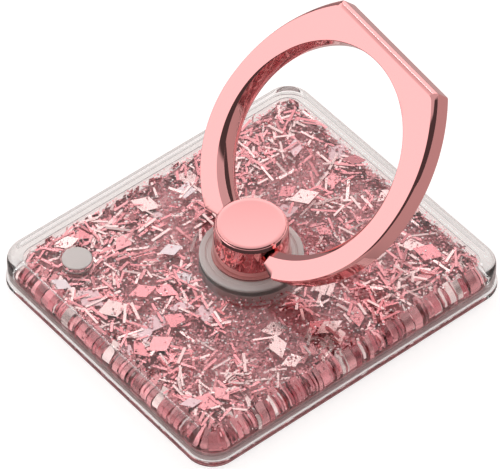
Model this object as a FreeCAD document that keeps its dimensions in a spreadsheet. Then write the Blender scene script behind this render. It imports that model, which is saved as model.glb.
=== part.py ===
import FreeCAD
import Part
import Sketcher
import math
import os
import random

# Phone ring holder: a clear moulded case filled with glitter oil, stuck to the back of a
# phone, with a turning metal hub that carries a folding finger ring.
# Frame: +Z up from the adhesive face, +X along the 40 mm side, the hub's axis on Z.

doc = FreeCAD.newDocument("ring_holder")
sheet = doc.addObject("Spreadsheet::Sheet", "dims")

DIMENSIONS = [
    ("case_len", 40.0, "base plate along X"),
    ("case_wid", 35.0, "base plate along Y"),
    ("base_corner", 3.0, "plan radius of the base plate"),
    ("pad_t", 0.5, "adhesive pad thickness"),
    ("pad_inset", 1.4, "adhesive pad inside the base plate's edge"),
    ("flange_t", 0.8, "lower band of the base plate's edge"),
    ("flange_round", 0.22, "rounding of the lower band"),
    ("ledge_t", 0.7, "upper band of the base plate's edge"),
    ("ledge_inset", 0.3, "upper band inside the lower one"),
    ("cover_inset", 0.2, "cover inside the base plate's edge"),
    ("cover_rise", 2.7, "cover above the base plate"),
    ("cover_wall", 1.5, "side wall of the cover"),
    ("cover_round", 1.15, "rounding of the cover's upper edge"),
    ("roof_t", 1.0, "roof of the cover"),
    ("cavity_corner", 1.7, "plan radius of the cavity"),
    ("cavity_round", 0.4, "rounding under the roof"),
    ("land_rise", 0.3, "locating land of the base plate inside the cover"),
    ("land_gap", 0.05, "land to cover"),
    ("pedestal_rise", 0.3, "pedestal above the roof's face"),
    ("pedestal_round", 0.18, "rounding of the pedestal"),
    ("seat_gap", 0.63, "turned seat beyond the hub's foot"),
    ("seat_rim", 0.65, "pedestal's rim round the seat"),
    ("seat_depth", 0.08, "depth of the seat"),
    ("plug_in_x", 5.9, "filler hole from the left end"),
    ("plug_in_y", 6.5, "filler hole from the long side"),
    ("plug_rad", 1.6, "filler plug"),
    ("plug_len", 1.45, "filler plug length"),
    ("plug_sink", 0.05, "plug face below the roof's face"),
    ("shank_rad", 2.0, "hub shank"),
    ("bore_gap", 0.05, "shank to pillar bore"),
    ("hub_lift", 0.05, "hub above its seat"),
    ("foot_rad", 4.12, "foot of the hub"),
    ("foot_flat", 0.15, "upright part of the foot"),
    ("foot_t", 0.3, "height of the foot"),
    ("foot_step", 0.12, "hub wall inside the foot"),
    ("hub_taper", 0.14, "hub wall drawn in at the rim"),
    ("hub_rise", 4.4, "hub height above its seat"),
    ("rim_wid", 0.5, "width of the rim's slope"),
    ("rim_drop", 0.3, "height of the rim's slope"),
    ("washer_rad", 3.25, "retaining washer"),
    ("washer_t", 0.45, "retaining washer thickness"),
    ("well_gap", 0.35, "washer to its well in the base plate"),
    ("spring_inset", 0.05, "disc spring inside the washer's edge"),
    ("spring_t", 0.18, "disc spring thickness"),
    ("spring_room", 0.3, "space of the disc spring under the pillar"),
    ("run_gap", 0.03, "disc spring to its neighbours"),
    ("screw_rad", 1.0, "retaining screw"),
    ("screw_reach", 3.0, "screw bore above the washer"),
    ("screw_short", 0.2, "screw tip to the bore's end"),
    ("head_rad", 1.75, "screw head"),
    ("head_t", 0.55, "screw head height"),
    ("head_taper", 0.2, "screw head crown"),
    ("drive_len", 2.0, "cross recess span"),
    ("drive_wid", 0.45, "cross recess width"),
    ("drive_depth", 0.3, "cross recess depth"),
    ("pivot_up", 2.65, "pivot above the roof's face"),
    ("pin_rad", 0.5, "pivot pin"),
    ("pin_gap", 0.05, "pin to lug hole"),
    ("pin_reach", 1.35, "pin inside each lug"),
    ("pin_end_gap", 0.15, "pin end to the hole's floor"),
    ("ring_t", 2.45, "ring thickness"),
    ("hole_rad", 11.25, "finger hole"),
    ("hole_past", 0.05, "finger hole beyond the pivot"),
    ("band_wid", 2.35, "band by the hub"),
    ("side_more", 5.4, "outline's radius towards the corners, beyond the one by the hub"),
    ("flat_band", 2.1, "band at the straight edge"),
    ("corner_rad", 0.35, "outline corners"),
    ("bevel_wid", 0.18, "outer bevel by the hub"),
    ("bevel_side", 1.5, "front face's radius towards the corners, inside the outline's"),
    ("bevel_flat", 0.67, "outer bevel at the straight edge"),
    ("face_corner_rad", 0.95, "front face corners"),
    ("bevel_depth", 0.42, "depth of the outer bevel"),
    ("back_chamfer", 0.2, "chamfer of the ring's back"),
    ("lug_gap", 0.15, "lug faces to the hub's wall"),
    ("lug_back", 0.9, "lugs behind the pivot"),
    ("inner_bevel", 0.55, "depth of the inner bevel"),
    ("inner_shift", 0.45, "inner bevel's centre towards the hub"),
    ("inner_wide", 0.25, "inner bevel beyond the hole's radius"),
    ("swivel_rest", -5.0, "hub turned about Z, degrees"),
    ("tilt_rest", 44.0, "ring raised from flat, degrees"),
    ("film_t", 0.06, "glitter film thickness"),
    ("film_gap", 0.35, "glitter to walls"),
    ("tinsel_len", 2.5, "longest tinsel strip"),
    ("tinsel_short", 1.5, "shortest tinsel strip"),
    ("tinsel_wid", 0.28, "tinsel strip width"),
    ("tinsel_pitch", 2.8, "one strip to a square of this side"),
    ("diamond_len", 4.0, "diamond, long way"),
    ("diamond_wid", 2.5, "diamond, short way"),
    ("diamond_pitch", 4.8, "one diamond to a square of this side"),
]
ALIASES = [alias for alias, _, _ in DIMENSIONS]
for row, (alias, value, note) in enumerate(DIMENSIONS, start=1):
    sheet.set("A%d" % row, note)
    sheet.set("B%d" % row, str(value))
    sheet.setAlias("B%d" % row, alias)
doc.recompute()

# Heights and outlines that several pieces share, as formulas of the cells
BASE_TOP = "pad_t + flange_t + ledge_t"
LAND_TOP = BASE_TOP + " + land_rise"
CEILING = BASE_TOP + " + cover_rise - roof_t"
ROOF_TOP = BASE_TOP + " + cover_rise"
PEDESTAL_TOP = ROOF_TOP + " + pedestal_rise"
SEAT = PEDESTAL_TOP + " - seat_depth"
HUB_FOOT = SEAT + " + hub_lift"
HUB_TOP = SEAT + " + hub_rise"
WASHER_TOP = BASE_TOP + " - spring_room"
WASHER_FOOT = WASHER_TOP + " - washer_t"
PIVOT = ROOF_TOP + " + pivot_up"
SEAT_RAD = "foot_rad + seat_gap"
PILLAR_RAD = SEAT_RAD + " + seat_rim"
HUB_RAD = "foot_rad - foot_step"
LUG_FACE = HUB_RAD + " + lug_gap"
SPRING_RAD = "washer_rad - spring_inset"
RING_CENTRE = "hole_rad - hole_past"
OUTER_RAD = "hole_rad + band_wid"
SIDE_RAD = OUTER_RAD + " + side_more"
FLAT_AT = RING_CENTRE + " + hole_rad + flat_band"
PLUG_X = "plug_in_x - 0.5 * case_len"
PLUG_Y = "0.5 * case_wid - plug_in_y"
CAVITY_LEN = "case_len - 2 * cover_inset - 2 * cover_wall"
CAVITY_WID = "case_wid - 2 * cover_inset - 2 * cover_wall"
HUB_TURN = "placement( vector( 0 ; 0 ; 0 ) ; rotation( swivel_rest ; 0 ; 0 ) )"
Z_AXIS = FreeCAD.Vector(0, 0, 1)

# Where the layers of film float, as shares of the oil's height, clear of each other
TINSEL_LEVELS = (0.25, 0.8)
PEARL_LEVEL = 0.44
ROSE_LEVEL = 0.62
# Diamonds in every hundred places of their grid, and the seeds that scatter them
PEARL_SHARE = 40
ROSE_SHARE = 80
PEARL_SEED = 12
ROSE_SEED = 11


def size(formula):
    """The value of a formula of cells, in millimetres or degrees."""
    return float(sheet.evalExpression(formula))


def bind(thing, prop, formula):
    """Bind a property to a formula of cells."""
    words = ["dims." + word if word in ALIASES else word for word in formula.split()]
    thing.setExpression(prop, " ".join(words))


def new_body(label):
    body = doc.addObject("PartDesign::Body", label)
    body.Label = label
    return body


def own_plane(body, role):
    return next(plane for plane in body.Origin.OriginFeatures if plane.Role == role)


def new_sketch(body, name, height="", role="XY_Plane"):
    """A sketch on one of the body's own planes, raised by a formula of cells."""
    sketch = body.newObject("Sketcher::SketchObject", name)
    sketch.AttachmentSupport = [(own_plane(body, role), "")]
    sketch.MapMode = "FlatFace"
    if height:
        bind(sketch, "AttachmentOffset.Base.z", height)
    return sketch


def fix(sketch, kind, *places):
    sketch.addConstraint(Sketcher.Constraint(kind, *places))


def set_size(sketch, kind, *places):
    """Add a dimension whose last place is the formula that it is bound to."""
    formula = places[-1]
    index = sketch.addConstraint(Sketcher.Constraint(kind, *places[:-1], size(formula)))
    bind(sketch, "Constraints[%d]" % index, formula)


def add_arc(sketch, x, y, radius, start, stop):
    line = Part.Circle(FreeCAD.Vector(x, y, 0), Z_AXIS, radius)
    return sketch.addGeometry(Part.ArcOfCircle(line, math.radians(start), math.radians(stop)))


def add_line(sketch, start, stop):
    return sketch.addGeometry(Part.LineSegment(FreeCAD.Vector(*start, 0), FreeCAD.Vector(*stop, 0)))


def rounded_rectangle(sketch, length, width, corner):
    """A rectangle with round corners, centred on the sketch's origin."""
    right = size(length) / 2
    top = size(width) / 2
    radius = size(corner)
    x = right - radius
    y = top - radius
    add_line(sketch, (-x, -top), (x, -top))
    add_arc(sketch, x, -y, radius, -90, 0)
    add_line(sketch, (right, -y), (right, y))
    add_arc(sketch, x, y, radius, 0, 90)
    add_line(sketch, (x, top), (-x, top))
    add_arc(sketch, -x, y, radius, 90, 180)
    add_line(sketch, (-right, y), (-right, -y))
    add_arc(sketch, -x, -y, radius, 180, 270)
    for number in range(8):
        fix(sketch, "Tangent", number, 2, (number + 1) % 8, 1)
    fix(sketch, "Horizontal", 0)
    fix(sketch, "Vertical", 2)
    fix(sketch, "Horizontal", 4)
    fix(sketch, "Vertical", 6)
    for number in (3, 5):
        fix(sketch, "Equal", 1, number)
    fix(sketch, "Symmetric", 1, 3, 5, 3, -1, 1)
    set_size(sketch, "Radius", 1, corner)
    set_size(sketch, "DistanceX", 6, 1, 2, 1, length)
    set_size(sketch, "DistanceY", 0, 1, 4, 1, width)


def rectangle(sketch, length, width, middle="0"):
    """A rectangle across the sketch's X axis, with its middle at a formula along it."""
    left = size(middle) - size(length) / 2
    right = size(middle) + size(length) / 2
    top = size(width) / 2
    corners = [(left, -top), (right, -top), (right, top), (left, top)]
    for number in range(4):
        add_line(sketch, corners[number], corners[(number + 1) % 4])
    for number in range(4):
        fix(sketch, "Coincident", number, 2, (number + 1) % 4, 1)
    for number in (0, 2):
        fix(sketch, "Horizontal", number)
        fix(sketch, "Vertical", number + 1)
    set_size(sketch, "DistanceX", 0, 1, 0, 2, length)
    set_size(sketch, "DistanceY", 1, 1, 1, 2, width)
    set_size(sketch, "DistanceX", -1, 1, 1, 2, middle + " + 0.5 * ( " + length + " )")
    set_size(sketch, "DistanceY", -1, 1, 1, 2, "0.5 * ( " + width + " )")


def circle(sketch, radius, x="", y=""):
    """A circle at two formulas from the sketch's origin, or on an axis where one is left out."""
    centre = FreeCAD.Vector(size(x) if x else 0, size(y) if y else 0, 0)
    index = sketch.addGeometry(Part.Circle(centre, Z_AXIS, size(radius)))
    set_size(sketch, "Radius", index, radius)
    if x:
        set_size(sketch, "DistanceX", -1, 1, index, 3, x)
    else:
        fix(sketch, "PointOnObject", index, 3, -2)
    if y:
        set_size(sketch, "DistanceY", -1, 1, index, 3, y)
    else:
        fix(sketch, "PointOnObject", index, 3, -1)


def pad(body, sketch, name, length):
    feature = body.newObject("PartDesign::Pad", name)
    feature.Profile = sketch
    bind(feature, "Length", length)
    doc.recompute()
    return feature


def pocket(body, sketch, name, depth="", upward=False):
    """Cut a sketch into a body, through all of it both ways when no depth is given."""
    before = body.Shape.Volume
    feature = body.newObject("PartDesign::Pocket", name)
    feature.Profile = sketch
    if depth:
        bind(feature, "Length", depth)
        feature.Reversed = upward
    else:
        feature.Type = "ThroughAll"
        feature.Midplane = True
    doc.recompute()
    if body.Shape.Volume > before - 1e-6:
        raise RuntimeError(name + " removes nothing")


def level_edges(feature, height):
    """The edges of a feature that lie flat at a height."""
    names = []
    for index, edge in enumerate(feature.Shape.Edges, start=1):
        box = edge.BoundBox
        if abs(box.ZMin - height) < 1e-5 and abs(box.ZMax - height) < 1e-5:
            names.append("Edge%d" % index)
    return names


def dress(body, kind, base, name, prop, formula, *heights):
    """Round or chamfer the edges of a feature that lie flat at the given heights."""
    feature = body.newObject(kind, name)
    names = [edge for height in heights for edge in level_edges(base, height)]
    feature.Base = (base, names)
    bind(feature, prop, formula)
    doc.recompute()
    return feature


def cut(label, base, tool):
    result = doc.addObject("Part::Cut", label)
    result.Label = label
    result.Base = base
    result.Tool = tool
    doc.recompute()
    return result


def turned(label, profile, turn=False):
    """A body turned about Z from (radius, height) formulas, an empty radius on the axis."""
    body = new_body(label)
    sketch = new_sketch(body, label + "_profile", role="XZ_Plane")
    points = [(size(radius) if radius else 0, size(height)) for radius, height in profile]
    count = len(points)
    for number in range(count):
        add_line(sketch, points[number], points[(number + 1) % count])
    for number, (radius, height) in enumerate(profile):
        fix(sketch, "Coincident", number, 2, (number + 1) % count, 1)
        set_size(sketch, "DistanceY", -1, 1, number, 1, height)
        if radius:
            set_size(sketch, "DistanceX", -1, 1, number, 1, radius)
        else:
            fix(sketch, "PointOnObject", number, 1, -2)
    solid = body.newObject("PartDesign::Revolution", label + "_turning")
    solid.Profile = sketch
    solid.ReferenceAxis = (sketch, ["V_Axis"])
    solid.Angle = 360
    if turn:
        bind(body, "Placement", HUB_TURN)
    doc.recompute()
    return body


def make_adhesive_pad():
    body = new_body("adhesive_pad")
    outline = new_sketch(body, "pad_outline")
    rounded_rectangle(outline, "case_len - 2 * pad_inset", "case_wid - 2 * pad_inset",
                      "base_corner - pad_inset")
    pad(body, outline, "pad_sheet", "pad_t")
    return body


def make_base_plate():
    """The clear plate: a two-band edge, a locating land and the washer well."""
    body = new_body("base_plate")
    flange_outline = new_sketch(body, "flange_outline", "pad_t")
    rounded_rectangle(flange_outline, "case_len", "case_wid", "base_corner")
    flange = pad(body, flange_outline, "flange", "flange_t")
    dress(body, "PartDesign::Fillet", flange, "flange_rounding", "Radius", "flange_round",
          size("pad_t"), size("pad_t + flange_t"))
    ledge_outline = new_sketch(body, "ledge_outline", "pad_t + flange_t")
    rounded_rectangle(ledge_outline, "case_len - 2 * ledge_inset", "case_wid - 2 * ledge_inset",
                      "base_corner - ledge_inset")
    pad(body, ledge_outline, "ledge", "ledge_t")
    land_outline = new_sketch(body, "land_outline", BASE_TOP)
    rounded_rectangle(land_outline, CAVITY_LEN + " - 2 * land_gap", CAVITY_WID + " - 2 * land_gap",
                      "cavity_corner - land_gap")
    circle(land_outline, PILLAR_RAD + " + land_gap")
    pad(body, land_outline, "land", "land_rise")
    well = new_sketch(body, "well_outline", "pad_t")
    circle(well, "washer_rad + well_gap")
    pocket(body, well, "washer_well", "flange_t + ledge_t", upward=True)
    return body


def make_cavity(label, foot):
    """The room inside the cover as a solid, from a height up to the ceiling."""
    body = new_body(label)
    outline = new_sketch(body, label + "_outline", foot)
    rounded_rectangle(outline, CAVITY_LEN, CAVITY_WID, "cavity_corner")
    circle(outline, PILLAR_RAD)
    block = pad(body, outline, label + "_block", CEILING + " - ( " + foot + " )")
    dress(body, "PartDesign::Fillet", block, label + "_rounding", "Radius", "cavity_round",
          size(CEILING))
    return body


def make_top_cover():
    """The clear shell: rounded roof, pedestal and pillar, filler hole."""
    body = new_body("cover_block")
    outline = new_sketch(body, "cover_outline", BASE_TOP)
    rounded_rectangle(outline, "case_len - 2 * cover_inset", "case_wid - 2 * cover_inset",
                      "base_corner - cover_inset")
    block = pad(body, outline, "cover_solid", "cover_rise")
    dress(body, "PartDesign::Fillet", block, "cover_rounding", "Radius", "cover_round",
          size(ROOF_TOP))
    pedestal_outline = new_sketch(body, "pedestal_outline", ROOF_TOP)
    circle(pedestal_outline, PILLAR_RAD)
    pedestal = pad(body, pedestal_outline, "pedestal", "pedestal_rise")
    dress(body, "PartDesign::Fillet", pedestal, "pedestal_rounding", "Radius", "pedestal_round",
          size(PEDESTAL_TOP))
    seat = new_sketch(body, "seat_outline", PEDESTAL_TOP)
    circle(seat, SEAT_RAD)
    pocket(body, seat, "hub_seat", "seat_depth")
    bore = new_sketch(body, "bore_outline", ROOF_TOP)
    circle(bore, "shank_rad + bore_gap")
    pocket(body, bore, "pillar_bore")
    filler = new_sketch(body, "filler_outline", ROOF_TOP)
    circle(filler, "plug_rad", PLUG_X, PLUG_Y)
    pocket(body, filler, "filler_hole", "cover_rise")
    return cut("top_cover", body, make_cavity("cavity", BASE_TOP))


def make_fill_plug():
    plug = doc.addObject("Part::Cylinder", "fill_plug")
    plug.Label = "fill_plug"
    bind(plug, "Radius", "plug_rad")
    bind(plug, "Height", "plug_len")
    bind(plug, "Placement.Base.x", PLUG_X)
    bind(plug, "Placement.Base.y", PLUG_Y)
    bind(plug, "Placement.Base.z", ROOF_TOP + " - plug_sink - plug_len")
    doc.recompute()
    return plug


def make_swivel_hub():
    """Turned head and shank, cross-drilled for the pin and bored for the screw."""
    bore_end = WASHER_TOP + " + screw_reach"
    body = turned("swivel_hub", [
        ("screw_rad", WASHER_TOP),
        ("shank_rad", WASHER_TOP),
        ("shank_rad", HUB_FOOT),
        ("foot_rad", HUB_FOOT),
        ("foot_rad", HUB_FOOT + " + foot_flat"),
        (HUB_RAD, HUB_FOOT + " + foot_t"),
        (HUB_RAD + " - hub_taper", HUB_TOP + " - rim_drop"),
        (HUB_RAD + " - hub_taper - rim_wid", HUB_TOP),
        ("", HUB_TOP),
        ("", bore_end),
        ("screw_rad", bore_end),
    ], turn=True)
    drill = new_sketch(body, "pin_drill", role="XZ_Plane")
    circle(drill, "pin_rad", y=PIVOT)
    pocket(body, drill, "pin_hole")
    return body


def make_disc_spring():
    """A dished friction washer between the pillar and the retaining washer."""
    crown = BASE_TOP + " - run_gap"
    rim = WASHER_TOP + " + run_gap"
    return turned("disc_spring", [
        ("shank_rad + bore_gap", crown + " - spring_t"),
        (SPRING_RAD, rim),
        (SPRING_RAD, rim + " + spring_t"),
        ("shank_rad + bore_gap", crown),
    ])


def make_retaining_washer():
    return turned("retaining_washer", [
        ("screw_rad", WASHER_FOOT),
        ("washer_rad", WASHER_FOOT),
        ("washer_rad", WASHER_TOP),
        ("screw_rad", WASHER_TOP),
    ], turn=True)


def make_retaining_screw():
    """The screw that clamps the washer to the shank, with a cross recess."""
    head_foot = WASHER_FOOT + " - head_t"
    tip = WASHER_TOP + " + screw_reach - screw_short"
    body = turned("retaining_screw", [
        ("", head_foot),
        ("head_rad - head_taper", head_foot),
        ("head_rad", head_foot + " + head_taper"),
        ("head_rad", WASHER_FOOT),
        ("screw_rad", WASHER_FOOT),
        ("screw_rad", tip),
        ("", tip),
    ], turn=True)
    for name, length, width in (("drive_along", "drive_len", "drive_wid"),
                                ("drive_across", "drive_wid", "drive_len")):
        slot = new_sketch(body, name + "_outline", head_foot)
        rectangle(slot, length, width)
        pocket(body, slot, name, "drive_depth", upward=True)
    return body


def make_pivot_pin():
    """One pin through the hub, whose ends carry the ring's lugs."""
    pin = doc.addObject("Part::Cylinder", "pivot_pin")
    pin.Label = "pivot_pin"
    bind(pin, "Radius", "pin_rad")
    bind(pin, "Height", "2 * ( " + LUG_FACE + " + pin_reach )")
    bind(pin, "Placement",
         "placement( vector( 0 ; 0 ; " + PIVOT + " ) ; rotation( swivel_rest ; 0 ; -90 ) ) "
         "* placement( vector( 0 ; 0 ; -1 * ( " + LUG_FACE + " + pin_reach ) ) ; "
         "rotation( 0 ; 0 ; 0 ) )")
    doc.recompute()
    return pin


def ring_outline(sketch, hub_side, side, flat, corner):
    """Round by the hub, fuller towards two corners, and straight between them."""
    centre = size(RING_CENTRE)
    lift = size(side) - size(hub_side)
    edge = size(flat)
    round_x = edge - size(corner)
    round_y = math.sqrt((size(side) - size(corner)) ** 2 - (round_x - centre) ** 2) - lift
    turn = math.degrees(math.atan2(round_y + lift, round_x - centre))
    add_arc(sketch, centre, 0, size(hub_side), 90, 270)
    add_arc(sketch, centre, lift, size(side), -90, -turn)
    add_arc(sketch, round_x, -round_y, size(corner), -turn, 0)
    add_line(sketch, (edge, -round_y), (edge, round_y))
    add_arc(sketch, round_x, round_y, size(corner), 0, turn)
    add_arc(sketch, centre, -lift, size(side), turn, 90)
    for number in range(6):
        fix(sketch, "Tangent", number, 2, (number + 1) % 6, 1)
    fix(sketch, "PointOnObject", 0, 3, -1)
    fix(sketch, "Vertical", 3)
    fix(sketch, "Equal", 1, 5)
    fix(sketch, "Equal", 2, 4)
    fix(sketch, "Vertical", 0, 1, 0, 3)
    set_size(sketch, "DistanceX", -1, 1, 0, 3, RING_CENTRE)
    set_size(sketch, "DistanceX", -1, 1, 3, 1, flat)
    set_size(sketch, "Radius", 0, hub_side)
    set_size(sketch, "Radius", 1, side)
    set_size(sketch, "Radius", 2, corner)


def make_finger_ring():
    """The ring, drawn flat with the pivot at its origin, then raised to its pose."""
    body = new_body("finger_ring")
    back = new_sketch(body, "back_outline", "-0.5 * ring_t")
    ring_outline(back, OUTER_RAD, SIDE_RAD, FLAT_AT, "corner_rad")
    slab = pad(body, back, "ring_slab", "ring_t - bevel_depth")
    dress(body, "PartDesign::Chamfer", slab, "back_edge", "Size", "back_chamfer",
          size("-0.5 * ring_t"))
    lower = new_sketch(body, "bevel_foot", "0.5 * ring_t - bevel_depth")
    ring_outline(lower, OUTER_RAD, SIDE_RAD, FLAT_AT, "corner_rad")
    upper = new_sketch(body, "front_face", "0.5 * ring_t")
    ring_outline(upper, OUTER_RAD + " - bevel_wid", SIDE_RAD + " - bevel_side",
                 FLAT_AT + " - bevel_flat", "face_corner_rad")
    bevel = body.newObject("PartDesign::AdditiveLoft", "outer_bevel")
    bevel.Profile = lower
    bevel.Sections = [upper]
    bevel.Ruled = True
    doc.recompute()
    hole = new_sketch(body, "finger_hole_outline")
    circle(hole, "hole_rad", x=RING_CENTRE)
    pocket(body, hole, "finger_hole")
    cone = body.newObject("PartDesign::SubtractiveCone", "inner_bevel_cut")
    cone.AttachmentSupport = [(own_plane(body, "XY_Plane"), "")]
    cone.MapMode = "FlatFace"
    bind(cone, "Radius1", "hole_rad + inner_wide - inner_bevel")
    bind(cone, "Radius2", "hole_rad + inner_wide")
    bind(cone, "Height", "inner_bevel")
    bind(cone, "AttachmentOffset.Base.x", RING_CENTRE + " - inner_shift")
    bind(cone, "AttachmentOffset.Base.z", "0.5 * ring_t - inner_bevel")
    doc.recompute()
    slot = new_sketch(body, "hub_slot_outline")
    rectangle(slot, OUTER_RAD, "2 * ( " + LUG_FACE + " )", LUG_FACE + " - 0.5 * ( " + OUTER_RAD + " )")
    pocket(body, slot, "hub_slot")
    trim = new_sketch(body, "lug_back_outline")
    rectangle(trim, OUTER_RAD, "2 * ( " + OUTER_RAD + " )", "-0.5 * ( " + OUTER_RAD + " ) - lug_back")
    pocket(body, trim, "lug_backs")
    drill = body.newObject("PartDesign::SubtractiveCylinder", "pin_holes")
    drill.AttachmentSupport = [(own_plane(body, "XZ_Plane"), "")]
    drill.MapMode = "FlatFace"
    bind(drill, "Radius", "pin_rad + pin_gap")
    pin_room = LUG_FACE + " + pin_reach + pin_end_gap"
    bind(drill, "Height", "2 * ( " + pin_room + " )")
    bind(drill, "AttachmentOffset.Base.z", "-1 * ( " + pin_room + " )")
    bind(body, "Placement", "placement( vector( 0 ; 0 ; " + PIVOT + " ) ; "
         "rotation( swivel_rest ; -1 * tilt_rest ; 0 ) )")
    doc.recompute()
    return body


def free_spots(pitch, reach, seed):
    """One place and angle in each square of a grid, where a piece clears walls and pegs."""
    chance = random.Random(seed)
    right = size(CAVITY_LEN) / 2 - size("film_gap") - reach
    top = size(CAVITY_WID) / 2 - size("film_gap") - reach
    play = pitch / 2 - reach
    plug = (size(PLUG_X), size(PLUG_Y))
    columns = int(2 * right / pitch)
    rows = int(2 * top / pitch)
    for column in range(columns + 1):
        for row in range(rows + 1):
            x = (column - columns / 2) * pitch + chance.uniform(-play, play)
            y = (row - rows / 2) * pitch + chance.uniform(-play, play)
            angle = chance.uniform(0, 180)
            fraction = chance.random()
            in_walls = abs(x) < right and abs(y) < top
            off_pillar = math.hypot(x, y) > size(PILLAR_RAD + " + film_gap") + reach
            off_plug = math.dist((x, y), plug) > size("plug_rad + film_gap") + reach
            if in_walls and off_pillar and off_plug:
                yield x, y, angle, fraction


def film_piece(points, x, y, height, angle):
    """A flat piece of film from its outline, turned and laid at a height."""
    corners = [FreeCAD.Vector(along, across, 0) for along, across in points + points[:1]]
    piece = Part.Face(Part.makePolygon(corners)).extrude(Z_AXIS * size("film_t"))
    piece.Placement = FreeCAD.Placement(FreeCAD.Vector(x, y, height),
                                        FreeCAD.Rotation(Z_AXIS, angle))
    return piece


def keep_pieces(label, pieces):
    feature = doc.addObject("Part::Feature", label)
    feature.Label = label
    feature.Shape = Part.Compound(pieces)
    return feature


def make_tinsel():
    """Short straight strips of film in two layers of the oil."""
    pieces = []
    width = size("tinsel_wid") / 2
    room = size(CEILING + " - ( " + LAND_TOP + " )")
    for seed, level in enumerate(TINSEL_LEVELS, start=1):
        height = size(LAND_TOP) + level * room
        reach = math.hypot(size("tinsel_len") / 2, width)
        for x, y, angle, fraction in free_spots(size("tinsel_pitch"), reach, seed):
            half = (size("tinsel_short") + fraction * size("tinsel_len - tinsel_short")) / 2
            strip = [(-half, -width), (half, -width), (half, width), (-half, width)]
            pieces.append(film_piece(strip, x, y, height, angle))
    return keep_pieces("tinsel_strips", pieces)


def make_diamonds(label, level, seed, share):
    """Diamond flakes of one film in one layer of the oil."""
    pieces = []
    height = size(LAND_TOP) + level * size(CEILING + " - ( " + LAND_TOP + " )")
    reach = size("diamond_len") / 2
    for x, y, angle, fraction in free_spots(size("diamond_pitch"), reach, seed):
        if fraction * 100 < share:
            across = size("diamond_wid") / 2
            outline = [(-reach, 0), (0, -across), (reach, 0), (0, across)]
            pieces.append(film_piece(outline, x, y, height, angle))
    return keep_pieces(label, pieces)


def make_glitter_oil(pieces):
    """The oil that fills the case round the plug's tip and the glitter."""
    block = make_cavity("oil_block", LAND_TOP)
    pegs = doc.addObject("Part::Compound", "oil_pegs")
    pegs.Links = pieces
    doc.recompute()
    return cut("glitter_oil", block, pegs)


fill_plug = make_fill_plug()
tinsel_strips = make_tinsel()
rose_diamonds = make_diamonds("rose_diamonds", ROSE_LEVEL, ROSE_SEED, ROSE_SHARE)
pearl_diamonds = make_diamonds("pearl_diamonds", PEARL_LEVEL, PEARL_SEED, PEARL_SHARE)
sub_parts = [
    make_adhesive_pad(),
    make_base_plate(),
    make_top_cover(),
    fill_plug,
    make_glitter_oil([fill_plug, tinsel_strips, rose_diamonds, pearl_diamonds]),
    tinsel_strips,
    rose_diamonds,
    pearl_diamonds,
    make_swivel_hub(),
    make_disc_spring(),
    make_retaining_washer(),
    make_retaining_screw(),
    make_pivot_pin(),
    make_finger_ring(),
]
doc.recompute()

failed = [item.Name for item in doc.Objects if {"Invalid", "Error"} & set(item.State)]
failed += [item.Label for item in sub_parts if item.Shape.isNull() or not item.Shape.isValid()]
if failed:
    raise RuntimeError("failed: " + ", ".join(failed))

os.makedirs("parts", exist_ok=True)
for item in sub_parts:
    item.Shape.exportStep("parts/" + item.Label + ".step")
    box = item.Shape.BoundBox
    print(item.Label, len(item.Shape.Solids), "solids, volume %.2f" % item.Shape.Volume,
          "x %.2f %.2f y %.2f %.2f z %.2f %.2f" % (box.XMin, box.XMax, box.YMin, box.YMax,
                                                   box.ZMin, box.ZMax))
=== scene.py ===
# %% [markdown]
# # A phone ring holder with liquid glitter
# The real thing is a clear acrylic case, 40 by 35 mm, that sticks to the back of a phone. Oil with
# rose glitter fills it, a turning metal hub stands in its middle, and a finger ring folds on the hub.
# The sizes come from a CAD model that is loaded first and never moved. Blender adds the looks.

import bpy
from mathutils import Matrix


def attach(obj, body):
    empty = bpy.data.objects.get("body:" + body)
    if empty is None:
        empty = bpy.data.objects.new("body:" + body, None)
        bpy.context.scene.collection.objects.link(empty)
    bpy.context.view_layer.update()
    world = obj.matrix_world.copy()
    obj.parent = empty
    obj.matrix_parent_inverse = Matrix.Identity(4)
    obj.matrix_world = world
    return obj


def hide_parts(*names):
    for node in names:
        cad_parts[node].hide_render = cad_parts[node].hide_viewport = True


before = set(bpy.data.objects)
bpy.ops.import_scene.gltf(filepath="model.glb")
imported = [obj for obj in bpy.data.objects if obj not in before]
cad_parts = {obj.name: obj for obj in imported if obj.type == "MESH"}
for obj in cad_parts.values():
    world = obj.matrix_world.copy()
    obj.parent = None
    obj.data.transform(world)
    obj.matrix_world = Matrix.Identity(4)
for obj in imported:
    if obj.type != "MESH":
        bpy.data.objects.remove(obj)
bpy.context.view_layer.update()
print("CAD nodes:", ", ".join(sorted(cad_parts)))

# %% [markdown]
# ## Millimetres, colours and nodes
# Every size below is in millimetres, as on a drawing, and a mesh is scaled to metres when it is done.
# Colours are written as sRGB hex values, as a paint programme shows them, but a shader works with
# linear light, so one function converts them. One more function adds a shader node.

# %% Imports and small helpers
import math
import random

import bmesh
import bpy
from mathutils import Matrix, Vector

MM = 0.001


def linear(code):
    """The linear RGBA of an sRGB hex colour."""
    parts = [int(code[place:place + 2], 16) / 255 for place in (1, 3, 5)]
    return [p / 12.92 if p <= 0.04045 else ((p + 0.055) / 1.055) ** 2.4 for p in parts] + [1.0]


def add_node(tree, kind, sockets=None, **options):
    """Add a shader node, set its options, and set or link its sockets."""
    node = tree.nodes.new(kind)
    for name, value in options.items():
        setattr(node, name, value)
    for name, value in (sockets or {}).items():
        if isinstance(value, bpy.types.NodeSocket):
            tree.links.new(value, node.inputs[name])
        else:
            node.inputs[name].default_value = value
    return node


def new_material(name):
    """An empty material and its node tree."""
    material = bpy.data.materials.new(name)
    material.use_nodes = True
    material.node_tree.nodes.clear()
    return material, material.node_tree


print("#EFA8A7 in linear light:", [round(part, 3) for part in linear("#EFA8A7")])

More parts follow.
